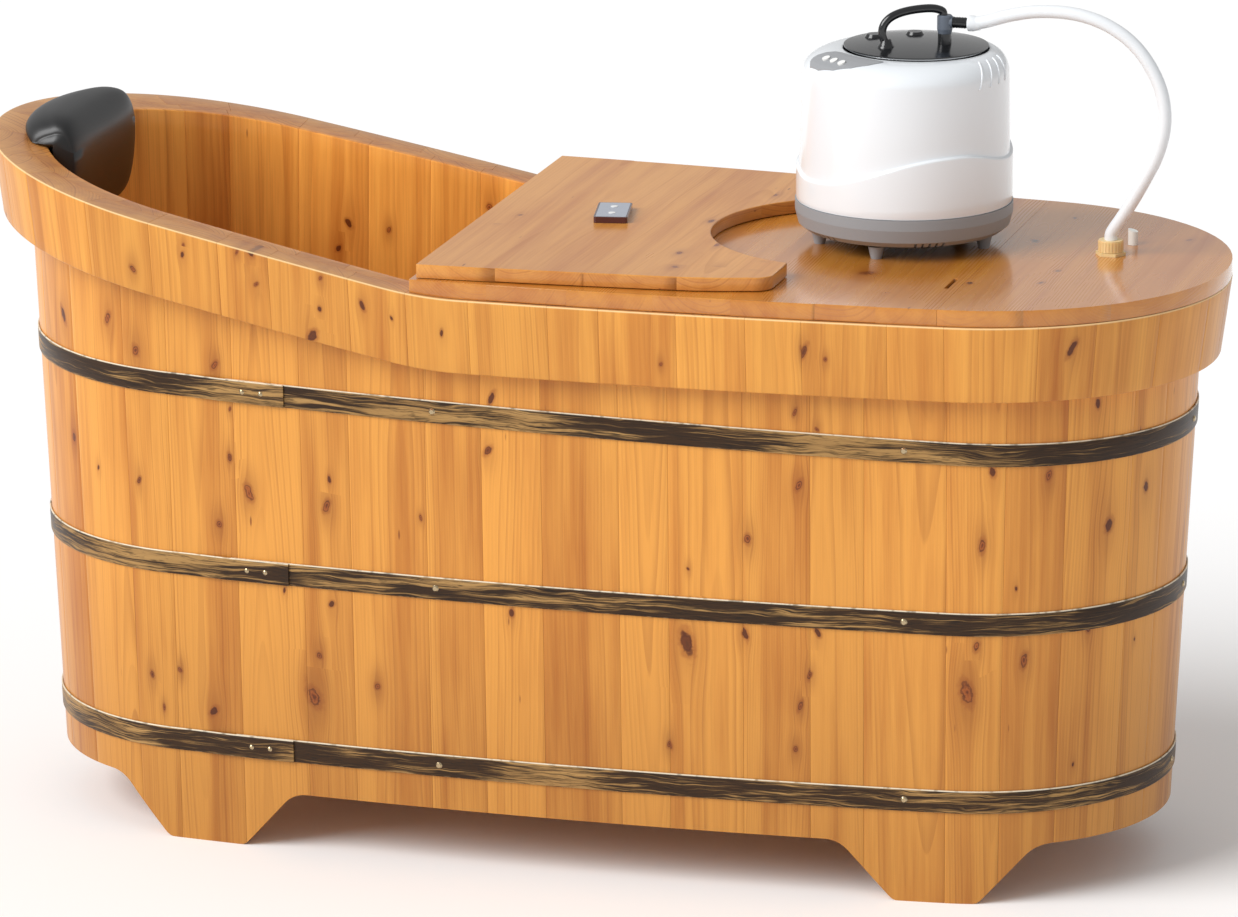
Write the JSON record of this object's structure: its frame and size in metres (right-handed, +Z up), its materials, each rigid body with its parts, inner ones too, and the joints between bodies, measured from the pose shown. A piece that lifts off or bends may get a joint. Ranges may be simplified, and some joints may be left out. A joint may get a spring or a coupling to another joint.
{
  "type": "japanese soaking tub",
  "caption": "Oval soaking tub of varnished wooden staves with three metal hoops, raised head end, cover, hinged neck board, head pillow, floor drain and a steam maker with its hose.",
  "frame": {"origin": "On the floor, under the middle of the tub's bounding box; the tub stands on Z = 0.", "axes": "+X runs along the tub from the raised head end to the foot end, +Y across it to the back, +Z up."},
  "size_m": [1.4148, 0.6, 0.9572],
  "materials": {
    "stave_wood": "knotty softwood, satin varnish",
    "collar_wood": "knotty softwood, glossy varnish, rounded top edge",
    "cover_wood": "flat-sawn softwood, satin varnish",
    "board_wood": "pale softwood, satin varnish",
    "floor_wood": "planed softwood, oiled",
    "hoop_metal": "brown-black antique finish, worn in streaks",
    "brass_fixings": "dull brass",
    "steel_fixings": "plain zinc-plated steel",
    "steel_drain": "satin stainless steel",
    "black_rubber": "matt",
    "seal": "soft silicone",
    "white_pipe": "moulded",
    "cream_plastic": "moulded, satin",
    "white_housing": "glossy",
    "grey_plastic": "fine matt texture",
    "panel_grey": "satin",
    "button_white": "satin",
    "black_plastic": "satin",
    "blue_grey_plastic": "satin",
    "tank_metal": "drawn, satin",
    "heater_metal": "heat-tinted sheath",
    "circuit_board": "green board with black parts",
    "hose_white": "smooth, slightly translucent",
    "pillow_cover": "smooth black coated fabric, satin",
    "remote_dark": "dark red-brown, satin",
    "remote_silver": "metallic silver paint"
  },
  "bodies": {
    "tub": {"staves_front": "stave_wood", "staves_back": "stave_wood", "staves_head": "stave_wood", "staves_foot": "stave_wood", "collar_front": "collar_wood", "collar_back": "collar_wood", "collar_head": "collar_wood", "collar_foot": "collar_wood", "hoop_bottom": "hoop_metal", "hoop_middle": "hoop_metal", "hoop_top": "hoop_metal", "hoop_screws": "brass_fixings", "hoop_rivets": "brass_fixings", "floor_boards": "floor_wood", "floor_battens": "floor_wood", "floor_screws": "steel_fixings", "drain_flange": "steel_drain", "drain_gasket": "black_rubber", "drain_locknut": "white_pipe", "drain_tail": "white_pipe"},
    "stopper": {"drain_stopper": "black_rubber"},
    "head_pillow": {"pillow": "pillow_cover"},
    "cover": {"cover_main_panel": "cover_wood", "cover_foot_panel": "cover_wood", "cover_battens": "floor_wood", "cover_screws": "steel_fixings", "hinge_fixed_leaves": "brass_fixings", "hinge_pins": "brass_fixings", "hinge_fixed_screws": "brass_fixings", "steam_socket": "cream_plastic", "socket_locknut": "cream_plastic"},
    "neck": {"neck_board": "board_wood", "hinge_moving_leaves": "brass_fixings", "hinge_moving_screws": "brass_fixings"},
    "plug": {"vent_plug": "white_pipe"},
    "steamer": {"steamer_feet": "grey_plastic", "steamer_base": "grey_plastic", "steamer_housing": "white_housing", "steamer_tank": "tank_metal", "heater_ring": "heater_metal", "control_board": "circuit_board", "control_panel": "panel_grey", "power_inlet": "black_plastic"},
    "button_a": {"panel_button_1": "button_white"},
    "button_b": {"panel_button_2": "button_white"},
    "button_c": {"panel_button_3": "button_white"},
    "lid": {"steamer_lid": "black_plastic", "lid_gasket": "seal", "lid_handle": "black_plastic", "lid_caps": "black_plastic", "nozzle_block": "blue_grey_plastic", "nozzle_barb": "black_plastic", "steam_hose": "hose_white"},
    "nut": {"hose_nut": "cream_plastic"},
    "remote": {"remote_case": "remote_dark", "remote_face": "remote_silver", "remote_battery": "steel_fixings"},
    "remote_key_a": {"remote_button_1": "button_white"},
    "remote_key_b": {"remote_button_2": "button_white"}
  },
  "joints": [
    {"name": "cover_lift", "type": "slide", "parent": "tub", "child": "cover", "axis": [0, 0, 1], "range_m": [0, 0.4]},
    {"name": "neck_board_hinge", "type": "hinge", "parent": "cover", "child": "neck", "pos_m": [-0.13864, 0, 0.683], "axis": [0, -1, 0], "range_deg": [0, 168.6]},
    {"name": "remote_lift", "type": "slide", "parent": "neck", "child": "remote", "axis": [0, 0, 1], "range_m": [0, 0.06]},
    {"name": "remote_key_a_press", "type": "slide", "parent": "remote", "child": "remote_key_a", "axis": [0, 0, -1], "range_m": [0, 0.0007], "stiffness_N_per_m": 400, "springref_m": -0.001},
    {"name": "remote_key_b_press", "type": "slide", "parent": "remote", "child": "remote_key_b", "axis": [0, 0, -1], "range_m": [0, 0.0007], "stiffness_N_per_m": 400, "springref_m": -0.001},
    {"name": "vent_plug_pull", "type": "slide", "parent": "cover", "child": "plug", "axis": [0, 0, 1], "range_m": [0, 0.05]},
    {"name": "steamer_lift", "type": "slide", "parent": "cover", "child": "steamer", "axis": [0, 0, 1], "range_m": [0, 0.2]},
    {"name": "button_a_press", "type": "slide", "parent": "steamer", "child": "button_a", "axis": [0.2332, 0.259, -0.9373], "range_m": [0, 0.001], "stiffness_N_per_m": 400, "springref_m": -0.001},
    {"name": "button_b_press", "type": "slide", "parent": "steamer", "child": "button_b", "axis": [0.2332, 0.259, -0.9373], "range_m": [0, 0.001], "stiffness_N_per_m": 400, "springref_m": -0.001},
    {"name": "button_c_press", "type": "slide", "parent": "steamer", "child": "button_c", "axis": [0.2332, 0.259, -0.9373], "range_m": [0, 0.001], "stiffness_N_per_m": 400, "springref_m": -0.001},
    {"name": "lid_lift", "type": "slide", "parent": "steamer", "child": "lid", "axis": [0, 0, 1], "range_m": [0, 0.12]},
    {"name": "hose_nut_turn", "type": "hinge", "parent": "lid", "child": "nut", "pos_m": [0.56986, 0.0295, 0.69], "axis": [0, 0, 1], "continuous": true},
    {"name": "pillow_lift", "type": "slide", "parent": "tub", "child": "head_pillow", "axis": [0, 0, 1], "range_m": [0, 0.15]},
    {"name": "stopper_lift", "type": "slide", "parent": "tub", "child": "stopper", "axis": [0, 0, 1], "range_m": [0, 0.06]}
  ]
}
